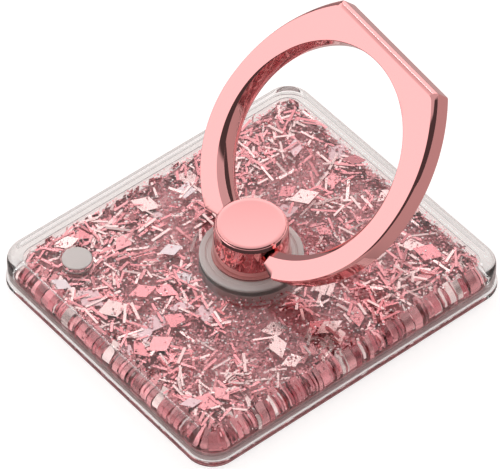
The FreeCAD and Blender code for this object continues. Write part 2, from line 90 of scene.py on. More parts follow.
# %% [markdown]
# ## The camera
# The photograph was taken with a long lens, so the case's edges stay nearly parallel. The camera
# looks down at 47 degrees from the near-left side. The angles, the distance and the focal length come
# from fitting the case's corners and the ring to the photograph.

# %% Camera
FRAME_WIDTH, FRAME_HEIGHT = 500, 469
FOCAL_PIXELS = 4591.8
TARGET = Vector((0, 0, 3.5)) * MM
TARGET_PIXEL = (251.40, 261.66)
CAMERA_DISTANCE = 471.57 * MM
AZIMUTH, ELEVATION, ROLL = (math.radians(angle) for angle in (-39.21, 47.35, -0.32))

back = Vector((math.sin(AZIMUTH) * math.cos(ELEVATION), -math.cos(AZIMUTH) * math.cos(ELEVATION),
               math.sin(ELEVATION)))
level_right = Vector((0, 0, 1)).cross(back).normalized()
level_up = back.cross(level_right)
right = math.cos(ROLL) * level_right + math.sin(ROLL) * level_up
up = math.cos(ROLL) * level_up - math.sin(ROLL) * level_right
ray = (right * (TARGET_PIXEL[0] - FRAME_WIDTH / 2) / FOCAL_PIXELS
       - up * (TARGET_PIXEL[1] - FRAME_HEIGHT / 2) / FOCAL_PIXELS - back)

lens = bpy.data.cameras.new("camera")
lens.sensor_width = 36
lens.lens = FOCAL_PIXELS * lens.sensor_width / FRAME_WIDTH
lens.clip_start = 0.02
lens.clip_end = 20
camera = bpy.data.objects.new("camera", lens)
camera.matrix_world = Matrix.Translation(TARGET - ray * CAMERA_DISTANCE) @ Matrix(
    (right, up, back)).transposed().to_4x4()
bpy.context.scene.collection.objects.link(camera)
bpy.context.scene.camera = camera
bpy.context.scene.view_settings.view_transform = "Standard"
print("lens %.1f mm at %.0f mm" % (lens.lens, CAMERA_DISTANCE / MM))

# %% [markdown]
# ## The light
# Polished metal and glass show what stands round them, so the light is painted as a photographer's
# tent, in the world shader. Bright white walls stand all round between 18 and 44 degrees up, the top
# is dimmer, the side of the camera is open and dark, a grey card stands at the back, and a small lamp
# shines from high up behind. The dark parts are milder for light that comes through clear plastic. A
# lamp object for each wall would do as well, but a tent has no gaps and no hard shadows. The camera
# itself sees plain white.

# %% Helpers for the tent
world = bpy.data.worlds.new("white_tent")
bpy.context.scene.world = world
world.use_nodes = True
sky = world.node_tree
sky.nodes.clear()
towards = add_node(sky, "ShaderNodeTexCoord").outputs["Generated"]


def sine(degrees):
    return math.sin(math.radians(degrees))


def ramp(value, start, stop):
    """0 up to start, 1 from stop on, and smooth between."""
    return add_node(sky, "ShaderNodeMapRange", {"Value": value, "From Min": start, "From Max": stop},
                    interpolation_type="SMOOTHSTEP").outputs[0]


def spot(azimuth, elevation, inner, outer):
    """1 inside a cone round a direction, 0 outside a wider one, all in degrees."""
    level = math.cos(math.radians(elevation))
    aim = add_node(sky, "ShaderNodeVectorMath", {0: towards, 1: Vector((
        level * math.cos(math.radians(azimuth)), level * sine(azimuth), sine(elevation)))},
        operation="DOT_PRODUCT")
    return ramp(aim.outputs["Value"], sine(90 - outer), sine(90 - inner))


def blend(share, first, second):
    """A number that goes from first to second as the share goes from 0 to 1."""
    return add_node(sky, "ShaderNodeMix", {0: share, 2: first, 3: second}).outputs[0]


# %% The tent
WALL_LIGHT, TOP_LIGHT, LAMP_LIGHT = 1.43, 0.71, 8.0
# The dark parts of the tent show in metal, and are milder through clear plastic
GAP_LIGHT, OPEN_SIDE_LIGHT = 0.08, 0.75
# A grey card at the back, which the ring's inner bevel mirrors
CARD_LIGHT = 0.36
# How far up the walls begin and where the top takes over, each with a soft edge, in degrees
WALL_LOW, WALL_HIGH, TOP_LOW, TOP_HIGH = 12, 18, 44, 55
# Azimuth, elevation, inner edge and outer edge of three cones, in degrees
OPEN_SIDE, CARD, LAMP = (-112, 10, 60, 66), (83, 23, 17, 20), (63, 54, 2, 4)
height = add_node(sky, "ShaderNodeSeparateXYZ", {0: towards}).outputs["Z"]
path = add_node(sky, "ShaderNodeLightPath")
through = path.outputs["Is Transmission Ray"]
light = blend(ramp(height, sine(WALL_LOW), sine(WALL_HIGH)), blend(through, GAP_LIGHT, WALL_LIGHT),
              WALL_LIGHT)
light = blend(ramp(height, sine(TOP_LOW), sine(TOP_HIGH)), light, TOP_LIGHT)
light = blend(spot(*OPEN_SIDE), light, blend(through, GAP_LIGHT, OPEN_SIDE_LIGHT))
light = blend(spot(*CARD), light, blend(through, CARD_LIGHT, TOP_LIGHT))
light = blend(spot(*LAMP), light, LAMP_LIGHT)
tent_light = add_node(sky, "ShaderNodeBackground", {"Color": linear("#FFFFFF"), "Strength": light})
plain_white = add_node(sky, "ShaderNodeBackground", {"Color": linear("#FFFFFF"), "Strength": 1.0})
both = add_node(sky, "ShaderNodeMixShader", {
    0: path.outputs["Is Camera Ray"], 1: tent_light.outputs[0], 2: plain_white.outputs[0]})
add_node(sky, "ShaderNodeOutputWorld", {"Surface": both.outputs[0]})
print("tent with", len(sky.nodes), "nodes")

# %% [markdown]
# ## The paper
# The object stands on a sheet of pale paper that ends a little in front of it, towards the camera.
# The camera sees the paper as white as the background, and a little darker through clear plastic.
# Only the shadow stays.

# %% The paper floor
PAPER_NEAR, PAPER_FAR, PAPER_DROP = 55, 1500, 0.02
# The light that the paper adds where it is seen directly, through plastic and in a mirror
SEEN_LIFT, THROUGH_LIFT, MIRRORED_LIFT = 0.74, 0.48, 0.12
paper, tree = new_material("pale_paper")
paper_matt = add_node(tree, "ShaderNodeBsdfDiffuse", {"Color": linear("#CFC4C1")})
path = add_node(tree, "ShaderNodeLightPath")
lift = add_node(tree, "ShaderNodeMath", {
    0: path.outputs["Is Camera Ray"], 1: SEEN_LIFT, 2: 0.0}, operation="MULTIPLY_ADD")
for kind, share in (("Is Transmission Ray", THROUGH_LIFT), ("Is Glossy Ray", MIRRORED_LIFT)):
    lift = add_node(tree, "ShaderNodeMath", {
        0: path.outputs[kind], 1: share, 2: lift.outputs[0]}, operation="MULTIPLY_ADD")
paper_white = add_node(tree, "ShaderNodeEmission", {
    "Color": linear("#FFFFFF"), "Strength": lift.outputs[0]})
paper_sum = add_node(tree, "ShaderNodeAddShader", {0: paper_matt.outputs[0], 1: paper_white.outputs[0]})
add_node(tree, "ShaderNodeOutputMaterial", {"Surface": paper_sum.outputs[0]})

near = Vector((back.x, back.y, 0)).normalized()
aside = Vector((-near.y, near.x, 0))
corners = [near * reach * MM + aside * side * PAPER_FAR * MM
           for reach, side in ((PAPER_NEAR, -1), (PAPER_NEAR, 1), (-PAPER_FAR, 1), (-PAPER_FAR, -1))]
floor_mesh = bpy.data.meshes.new("floor")
floor_mesh.from_pydata(corners, [], [(0, 1, 2, 3)])
floor_mesh.materials.append(paper)
floor = bpy.data.objects.new("floor", floor_mesh)
floor.location.z = -PAPER_DROP * MM
bpy.context.scene.collection.objects.link(floor)
print("paper ends %d mm in front of the hub" % PAPER_NEAR)

# %% [markdown]
# ## Rose-gold plating
# The hub and the ring are cast zinc alloy, polished and plated with a thin rose-gold layer. Plating
# is a mirror: it has no colour of its own, only the colour it gives to a reflection, here the pink
# that white light turns to. Casting and polishing leave a very faint waviness, which bends the edges
# of reflections a little.

# %% Material: rose-gold plated zinc
rose_gold, tree = new_material("rose_gold_plating")
place = add_node(tree, "ShaderNodeTexCoord").outputs["Object"]
waves = add_node(tree, "ShaderNodeTexNoise", {"Vector": place, "Scale": 1 / (2.2 * MM), "Detail": 2.0})
polish = add_node(tree, "ShaderNodeBump", {
    "Strength": 0.05, "Distance": 0.02 * MM, "Height": waves.outputs[0]})
haze = add_node(tree, "ShaderNodeTexNoise", {"Vector": place, "Scale": 1 / (0.7 * MM), "Detail": 4.0})
haze_range = add_node(tree, "ShaderNodeMapRange", {
    "Value": haze.outputs[0], "To Min": 0.03, "To Max": 0.07})
shader = add_node(tree, "ShaderNodeBsdfPrincipled", {
    "Base Color": linear("#EFA8A7"), "Metallic": 1.0, "Roughness": haze_range.outputs[0],
    "Normal": polish.outputs[0]})
add_node(tree, "ShaderNodeOutputMaterial", {"Surface": shader.outputs[0]})
print("material", rose_gold.name)

# %% [markdown]
# ## Clear acrylic and oil
# The case is injection-moulded acrylic (PMMA), which bends light by 1.49. Where oil wets its inner
# walls, light hardly bends, because oil bends it by 1.41: only their ratio counts there, 1.057. So
# the cover has two materials, one against air and one against oil. The oil's own surface lies just
# inside that wall and must not bend the light again, so its IOR is 1.

# %% Materials: acrylic against air, acrylic against oil, and the oil
ACRYLIC_IOR = 1.49
OIL_IOR = 1.41


def clear_material(name, colour, ior, roughness):
    """A clear material that only bends and tints light."""
    material, tree = new_material(name)
    shader = add_node(tree, "ShaderNodeBsdfPrincipled", {
        "Base Color": linear(colour), "Roughness": roughness, "IOR": ior,
        "Transmission Weight": 1.0})
    add_node(tree, "ShaderNodeOutputMaterial", {"Surface": shader.outputs[0]})
    return material


acrylic = clear_material("clear_acrylic", "#FBF9F8", ACRYLIC_IOR, 0.01)
wet_acrylic = clear_material("acrylic_wetted_by_oil", "#FFFFFF", ACRYLIC_IOR / OIL_IOR, 0.0)
oil = clear_material("mineral_oil", "#FFF6F6", 1.0, 0.0)
print("oil against acrylic bends by %.3f" % (ACRYLIC_IOR / OIL_IOR))

# %% [markdown]
# ## Glitter
# Glitter is cut from polyester film with a vapour-thin coat of aluminium under rose lacquer, so it is
# a tinted mirror. Each flake lies a little differently, and shows another part of the tent: one is
# nearly white, its neighbour dark. Random Per Island gives every flake its own tint.

# %% Materials: rose film and pearl film


def film_material(name, dark, light, pale, pale_share, roughness):
    """Coated film whose tint differs from flake to flake, with a share of pale ones."""
    material, tree = new_material(name)
    flake = add_node(tree, "ShaderNodeNewGeometry").outputs["Random Per Island"]
    tint = add_node(tree, "ShaderNodeMix", {0: flake, 6: linear(dark), 7: linear(light)},
                    data_type="RGBA")
    is_pale = add_node(tree, "ShaderNodeMath", {0: flake, 1: 1 - pale_share}, operation="GREATER_THAN")
    whole = add_node(tree, "ShaderNodeMix", {
        0: is_pale.outputs[0], 6: tint.outputs[2], 7: linear(pale)}, data_type="RGBA")
    shader = add_node(tree, "ShaderNodeBsdfPrincipled", {
        "Base Color": whole.outputs[2], "Metallic": 1.0, "Roughness": roughness})
    add_node(tree, "ShaderNodeOutputMaterial", {"Surface": shader.outputs[0]})
    return material


rose_film = film_material("rose_film", "#EE9CA3", "#FFC3C6", "#FFE3E1", 0.4, 0.24)
pearl_film = film_material("pearl_film", "#F3CDD2", "#FFEAF0", "#FFF4F8", 0.3, 0.35)
dust_film = film_material("fine_rose_film", "#F29AA3", "#FFCCCF", "#FFF4F3", 0.2, 0.3)
# The film at the walls has a darker dark end than the other films: partly random tone, partly painted
# shade at the walls
wall_film_painted_shade = film_material("rose_film_at_the_walls_painted_shade", "#B9626C", "#FFC0C4", "#FFEDEB", 0.15, 0.26)
print("films:", rose_film.name, pearl_film.name, dust_film.name, wall_film_painted_shade.name)

# %% Material: the bed of fine glitter
GRAIN, GRAIN_LEAN = 0.17, 0.4
bed_film, tree = new_material("bed_of_fine_glitter")
place = add_node(tree, "ShaderNodeTexCoord").outputs["Object"]
grains = add_node(tree, "ShaderNodeTexVoronoi", {"Vector": place, "Scale": 1 / (GRAIN * MM)})
lean = add_node(tree, "ShaderNodeVectorMath", {0: grains.outputs["Color"], 1: (0.5, 0.5, 0.5)},
                operation="SUBTRACT")
leaning = add_node(tree, "ShaderNodeVectorMath", {0: lean.outputs[0], "Scale": GRAIN_LEAN},
                   operation="SCALE")
flat = add_node(tree, "ShaderNodeNewGeometry").outputs["Normal"]
grain_normal = add_node(tree, "ShaderNodeVectorMath", {0: leaning.outputs[0], 1: flat})
grain_facing = add_node(tree, "ShaderNodeVectorMath", {0: grain_normal.outputs[0]}, operation="NORMALIZE")
grain_share = add_node(tree, "ShaderNodeSeparateColor", {0: grains.outputs["Color"]})
grain_tint = add_node(tree, "ShaderNodeMix", {
    0: grain_share.outputs[0], 6: linear("#F799A2"), 7: linear("#FFD4D7")}, data_type="RGBA")
shader = add_node(tree, "ShaderNodeBsdfPrincipled", {
    "Base Color": grain_tint.outputs[2], "Metallic": 1.0, "Roughness": 0.42,
    "Normal": grain_facing.outputs[0]})
add_node(tree, "ShaderNodeOutputMaterial", {"Surface": shader.outputs[0]})
print("bed grains of %.2f mm" % GRAIN)

# %% [markdown]
# ## Steel and adhesive
# The pin, the screw, the washer and the disc spring are plain turned or stamped steel. The pad is a
# white acrylic foam tape, matt and a little grainy.

# %% Materials: steel and foam tape
steel, tree = new_material("turned_steel")
place = add_node(tree, "ShaderNodeTexCoord").outputs["Object"]
marks = add_node(tree, "ShaderNodeTexNoise", {"Vector": place, "Scale": 1 / (0.15 * MM), "Detail": 3.0})
mark_range = add_node(tree, "ShaderNodeMapRange", {
    "Value": marks.outputs[0], "To Min": 0.22, "To Max": 0.42})
shader = add_node(tree, "ShaderNodeBsdfPrincipled", {
    "Base Color": linear("#C9C7C4"), "Metallic": 1.0, "Roughness": mark_range.outputs[0]})
add_node(tree, "ShaderNodeOutputMaterial", {"Surface": shader.outputs[0]})

# Foam carries light in from its edges; a faint pink glow is painted light that stands for it
FOAM_PAINTED_LIGHT = 0.12
foam_tape, tree = new_material("white_foam_tape")
place = add_node(tree, "ShaderNodeTexCoord").outputs["Object"]
cells = add_node(tree, "ShaderNodeTexVoronoi", {"Vector": place, "Scale": 1 / (0.35 * MM)})
cell_tint = add_node(tree, "ShaderNodeMix", {
    "Factor": cells.outputs["Distance"], 6: linear("#F1EFEC"), 7: linear("#E2DFDB")}, data_type="RGBA")
cell_bump = add_node(tree, "ShaderNodeBump", {
    "Strength": 0.3, "Distance": 0.03 * MM, "Height": cells.outputs["Distance"]})
shader = add_node(tree, "ShaderNodeBsdfPrincipled", {
    "Base Color": cell_tint.outputs[2], "Roughness": 0.6, "Normal": cell_bump.outputs[0],
    "Emission Color": linear("#F0C2C6"), "Emission Strength": FOAM_PAINTED_LIGHT})
add_node(tree, "ShaderNodeOutputMaterial", {"Surface": shader.outputs[0]})

for node_name in ("pivot_pin", "retaining_screw", "retaining_washer", "disc_spring"):
    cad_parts[node_name].data.materials[0] = steel
print("steel on the CAD nodes that stay")

# %% [markdown]
# ## Glue and frosted acrylic
# Glue between the tray and the cover has set milky. The pedestal, the pillar and the plug are
# frosted: a rough surface scatters light, so they look pale grey and only a little clear.

# %% Materials: milky glue and frosted acrylic
milky_glue, tree = new_material("milky_glue")
shader = add_node(tree, "ShaderNodeBsdfPrincipled", {
    "Base Color": linear("#F6EFEC"), "Roughness": 0.5, "IOR": ACRYLIC_IOR})
add_node(tree, "ShaderNodeOutputMaterial", {"Surface": shader.outputs[0]})

frosted_acrylic, tree = new_material("frosted_acrylic")
shader = add_node(tree, "ShaderNodeBsdfPrincipled", {
    "Base Color": linear("#FFF3EF"), "Roughness": 0.38, "IOR": ACRYLIC_IOR, "Transmission Weight": 0.2})
add_node(tree, "ShaderNodeOutputMaterial", {"Surface": shader.outputs[0]})
print("materials", milky_glue.name, frosted_acrylic.name)

# %% [markdown]
# ## Tools for moulded shapes
# A moulded part is mostly a plan outline that is carried up along a profile, and a turned part is a
# profile carried round an axis. Both are rings of points joined by quads. Rounded corners matter most,
# because they catch the light, so a profile names a radius for each of its corners.

# %% Helpers: profiles, rings and finished pieces


def rounded(corners, steps=5, closed=False):
    """Points along a profile of (across, height, radius) corners, each rounded by its radius."""
    points = []
    count = len(corners)
    for number, (across, height, radius) in enumerate(corners):
        here = Vector((across, height))
        if radius and (closed or 0 < number < count - 1):
            before = (Vector(corners[number - 1][:2]) - here).normalized()
            after = (Vector(corners[(number + 1) % count][:2]) - here).normalized()
            half = before.angle(after) / 2
            middle = here + (before + after).normalized() * radius / math.sin(half)
            start = here + before * radius / math.tan(half) - middle
            stop = here + after * radius / math.tan(half) - middle
            for step in range(steps + 1):
                points.append(middle + start.lerp(stop, step / steps).normalized() * radius)
        else:
            points.append(here)
    return points


def plan_outline(length, width, corner, inset=0.0, steps=12):
    """A rectangle with round corners, drawn in by an inset, anticlockwise."""
    points = []
    for turn, (side, end) in enumerate(((1, 1), (-1, 1), (-1, -1), (1, -1))):
        middle = Vector((side * (length / 2 - corner), end * (width / 2 - corner)))
        for step in range(steps + 1):
            angle = math.radians(90 * (turn + step / steps))
            points.append(middle + Vector((math.cos(angle), math.sin(angle))) * (corner - inset))
    return points


def circle_points(radius, count, x=0.0, y=0.0):
    """A circle in plan, anticlockwise."""
    return [Vector((x + radius * math.cos(math.tau * step / count),
                    y + radius * math.sin(math.tau * step / count))) for step in range(count)]


def add_ring(bm, points, height):
    return [bm.verts.new((point.x, point.y, height)) for point in points]


def join_rings(bm, first, second, material=0):
    """Join two closed rings with as many points by quads."""
    for number, vertex in enumerate(first):
        after = (number + 1) % len(first)
        face = bm.faces.new((vertex, first[after], second[after], second[number]))
        face.material_index = material


def carry_up(bm, outline, profile, material=0):
    """Carry a plan outline up a profile of (inset, height) and return the rings."""
    rings = [add_ring(bm, outline(inset), height) for inset, height in profile]
    for first, second in zip(rings, rings[1:]):
        join_rings(bm, first, second, material)
    return rings


def turn_round(bm, profile, count, x=0.0, y=0.0, material=0):
    """Carry a profile of (radius, height) round a vertical axis and return the rings."""
    rings = []
    for radius, height in profile:
        if radius > 1e-6:
            rings.append(add_ring(bm, circle_points(radius, count, x, y), height))
        else:
            rings.append([bm.verts.new((x, y, height))])
    for first, second in zip(rings, rings[1:]):
        if len(first) == len(second):
            join_rings(bm, first, second, material)
        else:
            tip, ring = (first[0], second) if len(first) == 1 else (second[0], first)
            for number, vertex in enumerate(ring):
                face = bm.faces.new((tip, vertex, ring[(number + 1) % count]))
                face.material_index = material
    return rings


def fill_flat(bm, loops, material=0):
    """Fill the flat area between an outer ring and the rings of its holes."""
    edges = [bm.edges.get((ring[number], ring[(number + 1) % len(ring)]))
             or bm.edges.new((ring[number], ring[(number + 1) % len(ring)]))
             for ring in loops for number in range(len(ring))]
    made = bmesh.ops.triangle_fill(bm, use_beauty=True, use_dissolve=False, edges=edges)
    for item in made["geom"]:
        if isinstance(item, bmesh.types.BMFace):
            item.material_index = material


def finish_piece(name, bm, body, materials, replaced=(), crease=28):
    """Turn a mesh in millimetres into a piece in metres, smooth but for its creases."""
    bmesh.ops.recalc_face_normals(bm, faces=bm.faces)
    for face in bm.faces:
        face.smooth = True
    for edge in bm.edges:
        if len(edge.link_faces) == 2 and edge.calc_face_angle() > math.radians(crease):
            edge.smooth = False
    bmesh.ops.scale(bm, vec=(MM, MM, MM), verts=bm.verts)
    mesh = bpy.data.meshes.new(name)
    bm.to_mesh(mesh)
    bm.free()
    for material in materials:
        mesh.materials.append(material)
    piece = bpy.data.objects.new(name, mesh)
    bpy.context.scene.collection.objects.link(piece)
    weights = piece.modifiers.new("even_shading", "WEIGHTED_NORMAL")
    weights.keep_sharp = True
    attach(piece, body)
    if replaced:
        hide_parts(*replaced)
    print(name, len(mesh.vertices), "points,", len(mesh.polygons), "faces")


# %% [markdown]
# ## The sizes that the CAD gives
# These repeat the CAD model's values, so that a new mesh stands where its CAD node does. The tray's
# floor, the hub's rim and the ring's band differ a little, because they follow the photograph.

# %% Sizes in millimetres
CASE_LENGTH, CASE_WIDTH, CASE_CORNER = 40.0, 35.0, 3.0
COVER_INSET, COVER_WALL, COVER_ROUND = 0.2, 1.5, 1.15
PAD_TOP, LEDGE_FOOT, BASE_TOP, CEILING = 0.5, 1.3, 2.0, 3.7
LEDGE_INSET, FLANGE_ROUND, WELL_RADIUS = 0.3, 0.22, 3.6
# The photograph shows glitter down to the seam, so the oil's room goes on into the base plate
TRAY_FLOOR = 1.3
ROOF_TOP, PEDESTAL_TOP, SEAT = 4.7, 5.0, 4.92
PAD_LENGTH, PAD_WIDTH, PAD_CORNER = 37.2, 32.2, 1.6
CAVITY_CORNER, CAVITY_ROUND = 1.7, 0.4
PILLAR_RADIUS, SEAT_RADIUS, BORE_RADIUS = 5.4, 4.75, 2.05
PLUG_X, PLUG_Y, PLUG_RADIUS, PLUG_FOOT, PLUG_TOP = -14.1, 11.0, 1.6, 3.2, 4.65
HUB_TOP, HUB_FOOT, SHANK_FOOT = 9.32, 4.97, 1.70
PIVOT_HEIGHT, SWIVEL, TILT = 7.35, -5.0, 44.0
# Two surfaces in one plane flicker, so pieces that touch in the real thing stay this far apart
HAIR = 0.02
print("case %.0f x %.0f mm, pivot %.2f mm up" % (CASE_LENGTH, CASE_WIDTH, PIVOT_HEIGHT))

# %% [markdown]
# ## The adhesive pad
# White foam tape holds the case on the phone. Its glue wets the clear plate, so its face lies a hair
# inside the plate: with air between them the plate would be a mirror from above.

# %% The pad


def pad_plan(inset):
    return plan_outline(PAD_LENGTH, PAD_WIDTH, PAD_CORNER, inset)


bm = bmesh.new()
pad_skin = carry_up(bm, pad_plan, rounded([
    (0.05, 0, 0), (0, 0, 0.03), (0, PAD_TOP + HAIR, 0.01), (0.1, PAD_TOP + HAIR, 0)], steps=2))
bm.faces.new(reversed(pad_skin[0]))
bm.faces.new(pad_skin[-1])
finish_piece("foam_pad", bm, "case", [foam_tape], ["adhesive_pad"])

# %% [markdown]
# ## The tray
# The base plate is a shallow tray with a two-band edge. Oil stands in it, so its inner faces are
# acrylic against oil. In its middle a boss meets the cover's pillar round the well of the washer.

# %% The clear tray


def tray_plan(inset):
    return plan_outline(CASE_LENGTH, CASE_WIDTH, CASE_CORNER, inset)


def cavity_plan(inset):
    return plan_outline(CASE_LENGTH - 2 * (COVER_INSET + COVER_WALL),
                        CASE_WIDTH - 2 * (COVER_INSET + COVER_WALL), CAVITY_CORNER, inset)


bm = bmesh.new()
edge = carry_up(bm, tray_plan, rounded([
    (0.4, PAD_TOP, 0), (0, PAD_TOP, FLANGE_ROUND), (0, LEDGE_FOOT, FLANGE_ROUND),
    (LEDGE_INSET, LEDGE_FOOT, 0.03), (LEDGE_INSET, BASE_TOP, 0.05), (0.5, BASE_TOP, 0)], steps=6))
tray = carry_up(bm, cavity_plan, rounded([
    (-HAIR / 2, BASE_TOP, 0), (-HAIR / 2, TRAY_FLOOR, 0.15), (0.2, TRAY_FLOOR, 0)], steps=4), material=1)
join_rings(bm, edge[-1], tray[0])
boss = turn_round(bm, [(PILLAR_RADIUS - HAIR / 2, TRAY_FLOOR), (PILLAR_RADIUS - HAIR / 2, BASE_TOP)],
                  128, material=1)
well = turn_round(bm, [(PILLAR_RADIUS - HAIR / 2, BASE_TOP), (WELL_RADIUS, BASE_TOP),
                       (WELL_RADIUS, PAD_TOP)], 128)
fill_flat(bm, [edge[0], well[-1]])
fill_flat(bm, [tray[-1], boss[0]], material=1)
bmesh.ops.remove_doubles(bm, verts=bm.verts, dist=1e-5)
finish_piece("base_tray", bm, "case", [acrylic, wet_acrylic], ["base_plate"])

# %% [markdown]
# ## The cover
# The cover is one moulding: side walls, a roof with a rounded upper edge, and in its middle a pillar
# with a raised pedestal that carries the hub. It could be cut from blocks with Boolean modifiers, but
# rings give cleaner rounded edges, and clear plastic shows every flaw in them. It is glued on the
# tray, so the two overlap by a hair, and the pillar's foot is white with glue.

# %% The clear cover


def cover_plan(inset):
    return plan_outline(CASE_LENGTH - 2 * COVER_INSET, CASE_WIDTH - 2 * COVER_INSET,
                        CASE_CORNER - COVER_INSET, inset)


PEDESTAL_EDGE, PEDESTAL_ROUND, BORE_CHAMFER, HOLE_CHAMFER = 0.3, 0.18, 0.08, 0.12
# A fine groove runs round the seat, given by its corners' distance from the seat's edge
SEAT_GROOVE, SEAT_GROOVE_DEPTH = (0.14, 0.17, 0.21, 0.24), 0.04
bm = bmesh.new()
foot = BASE_TOP - HAIR
skin = carry_up(bm, cover_plan, rounded([
    (0.12, foot, 0), (0, foot, 0.1), (0, ROOF_TOP, COVER_ROUND), (COVER_ROUND + 0.01, ROOF_TOP, 0)],
    steps=10)[:-1])
cavity = carry_up(bm, cavity_plan, rounded([
    (0, foot, 0), (0, CEILING, CAVITY_ROUND), (CAVITY_ROUND + 0.01, CEILING, 0)], steps=6)[:-1],
    material=1)
join_rings(bm, skin[0], cavity[0])
pedestal = turn_round(bm, rounded([
    (PILLAR_RADIUS, ROOF_TOP, 0), (PILLAR_RADIUS, PEDESTAL_TOP, PEDESTAL_ROUND),
    (PILLAR_RADIUS - PEDESTAL_EDGE, PEDESTAL_TOP, 0)]), 128, material=3)
turn_round(bm, rounded([
    (PILLAR_RADIUS - PEDESTAL_EDGE, PEDESTAL_TOP, 0), (SEAT_RADIUS, PEDESTAL_TOP, 0.03),
    (SEAT_RADIUS - 0.02, SEAT, 0), (SEAT_RADIUS - SEAT_GROOVE[0], SEAT, 0),
    (SEAT_RADIUS - SEAT_GROOVE[1], SEAT - SEAT_GROOVE_DEPTH, 0),
    (SEAT_RADIUS - SEAT_GROOVE[2], SEAT - SEAT_GROOVE_DEPTH, 0),
    (SEAT_RADIUS - SEAT_GROOVE[3], SEAT, 0), (BORE_RADIUS + BORE_CHAMFER, SEAT, 0)]), 128, material=3)
turn_round(bm, [(BORE_RADIUS + BORE_CHAMFER, SEAT), (BORE_RADIUS, SEAT - BORE_CHAMFER),
                (BORE_RADIUS, foot)], 128)
turn_round(bm, [(BORE_RADIUS, foot), (PILLAR_RADIUS, foot)], 128, material=2)
pillar = turn_round(bm, rounded([
    (PILLAR_RADIUS, foot, 0), (PILLAR_RADIUS, CEILING, 0)]), 128, material=3)
hole = turn_round(bm, rounded([
    (PLUG_RADIUS, CEILING, 0), (PLUG_RADIUS, ROOF_TOP - HOLE_CHAMFER, 0),
    (PLUG_RADIUS + HOLE_CHAMFER, ROOF_TOP, 0)]), 64, PLUG_X, PLUG_Y)
fill_flat(bm, [skin[-1], pedestal[0], hole[-1]])
fill_flat(bm, [cavity[-1], pillar[-1], hole[0]], material=1)
bmesh.ops.remove_doubles(bm, verts=bm.verts, dist=1e-5)
finish_piece("cover_shell", bm, "case",
             [acrylic, wet_acrylic, milky_glue, frosted_acrylic], ["top_cover"])

# %% [markdown]
# ## The filler plug
# The case is filled through a hole in the roof, which a short frosted plug closes. Its face lies just
# under the roof's face and its foot, milky with glue, stands in the oil.

# %% The plug
GLUE_HEIGHT = 0.16
bm = bmesh.new()
turn_round(bm, rounded([
    (0, PLUG_FOOT, 0), (PLUG_RADIUS - HAIR, PLUG_FOOT, 0.15), (PLUG_RADIUS - HAIR, PLUG_TOP, 0.1),
    (0, PLUG_TOP, 0)]), 64, PLUG_X, PLUG_Y)
for face in bm.faces:
    face.material_index = int(all(vertex.co.z < PLUG_FOOT + GLUE_HEIGHT for vertex in face.verts))
finish_piece("filler_plug", bm, "case", [frosted_acrylic, milky_glue],
             ["fill_plug"])

# %% [markdown]
# ## The oil
# The oil fills the whole cavity, round the pillar and the plug's foot.

# %% The oil
bm = bmesh.new()


def oil_plan(inset):
    return cavity_plan(inset + HAIR)


oil_skin = carry_up(bm, oil_plan, rounded([
    (0.15, TRAY_FLOOR + HAIR, 0), (0, TRAY_FLOOR + HAIR, 0.14), (0, CEILING - HAIR, CAVITY_ROUND),
    (CAVITY_ROUND + 0.01, CEILING - HAIR, 0)], steps=6)[:-1])
oil_pillar = turn_round(bm, [
    (PILLAR_RADIUS + HAIR, TRAY_FLOOR + HAIR), (PILLAR_RADIUS + HAIR, CEILING - HAIR)], 128)
oil_plug = turn_round(bm, [
    (PLUG_RADIUS + HAIR, CEILING - HAIR), (PLUG_RADIUS + HAIR, PLUG_FOOT - HAIR),
    (0, PLUG_FOOT - HAIR)], 64, PLUG_X, PLUG_Y)
fill_flat(bm, [oil_skin[0], oil_pillar[0]])
fill_flat(bm, [oil_skin[-1], oil_pillar[-1], oil_plug[0]])
finish_piece("oil_filling", bm, "case", [oil], ["glitter_oil"])

# %% [markdown]
# ## The glitter
# Three cuts float in the oil: long tinsel strips, big diamonds and fine dust. What has sunk lies as
# a dense bed on the floor, and some film stands against the walls. Each flake is a thin plate with
# its own place, turn and tilt, drawn from a seeded random generator so that every run gives the same
# case. Film settles almost flat in a shallow room, so tilts stay within a few degrees.

# %% Helpers: plates in the oil
FLAKE_GAP, WALL_GAP, FLOOR_GAP, PLUG_GAP = 0.05, 0.06, 0.12, 0.08
GLITTER_FLOOR, GLITTER_ROOF = TRAY_FLOOR + FLOOR_GAP, CEILING - FLAKE_GAP
HALF_LENGTH = CASE_LENGTH / 2 - COVER_INSET - COVER_WALL - WALL_GAP
HALF_WIDTH = CASE_WIDTH / 2 - COVER_INSET - COVER_WALL - WALL_GAP
GLITTER_CORNER = 1.6
FILM_THICK, DUST_THICK = 0.03, 0.015


def inside_oil(points):
    """True if all corners of a flake are in the oil, clear of the pillar and the plug."""
    for x, y, z in points:
        if not (abs(x) < HALF_LENGTH and abs(y) < HALF_WIDTH and GLITTER_FLOOR < z < GLITTER_ROOF):
            return False
        if math.hypot(x, y) < PILLAR_RADIUS + FLAKE_GAP:
            return False
        by_plug = math.hypot(x - PLUG_X, y - PLUG_Y) < PLUG_RADIUS + FLAKE_GAP
        if z > PLUG_FOOT - PLUG_GAP and by_plug:
            return False
        corner_x = abs(x) - (HALF_LENGTH - GLITTER_CORNER)
        corner_y = abs(y) - (HALF_WIDTH - GLITTER_CORNER)
        if corner_x > 0 and corner_y > 0 and math.hypot(corner_x, corner_y) > GLITTER_CORNER:
            return False
    return True


def add_plate(points, faces, outline, stand, thickness):
    """Add a thin plate with an outline, where a matrix stands it, if it fits in the oil."""
    corners = [stand @ Vector((x, y, side * thickness / 2)) for side in (-1, 1) for x, y in outline]
    if not inside_oil(corners):
        return False
    start, count = len(points), len(outline)
    points.extend(tuple(corner * MM) for corner in corners)
    faces.append([start + number for number in reversed(range(count))])
    faces.append([start + count + number for number in range(count)])
    for number in range(count):
        after = (number + 1) % count
        faces.append([start + number, start + after, start + count + after, start + count + number])
    return True


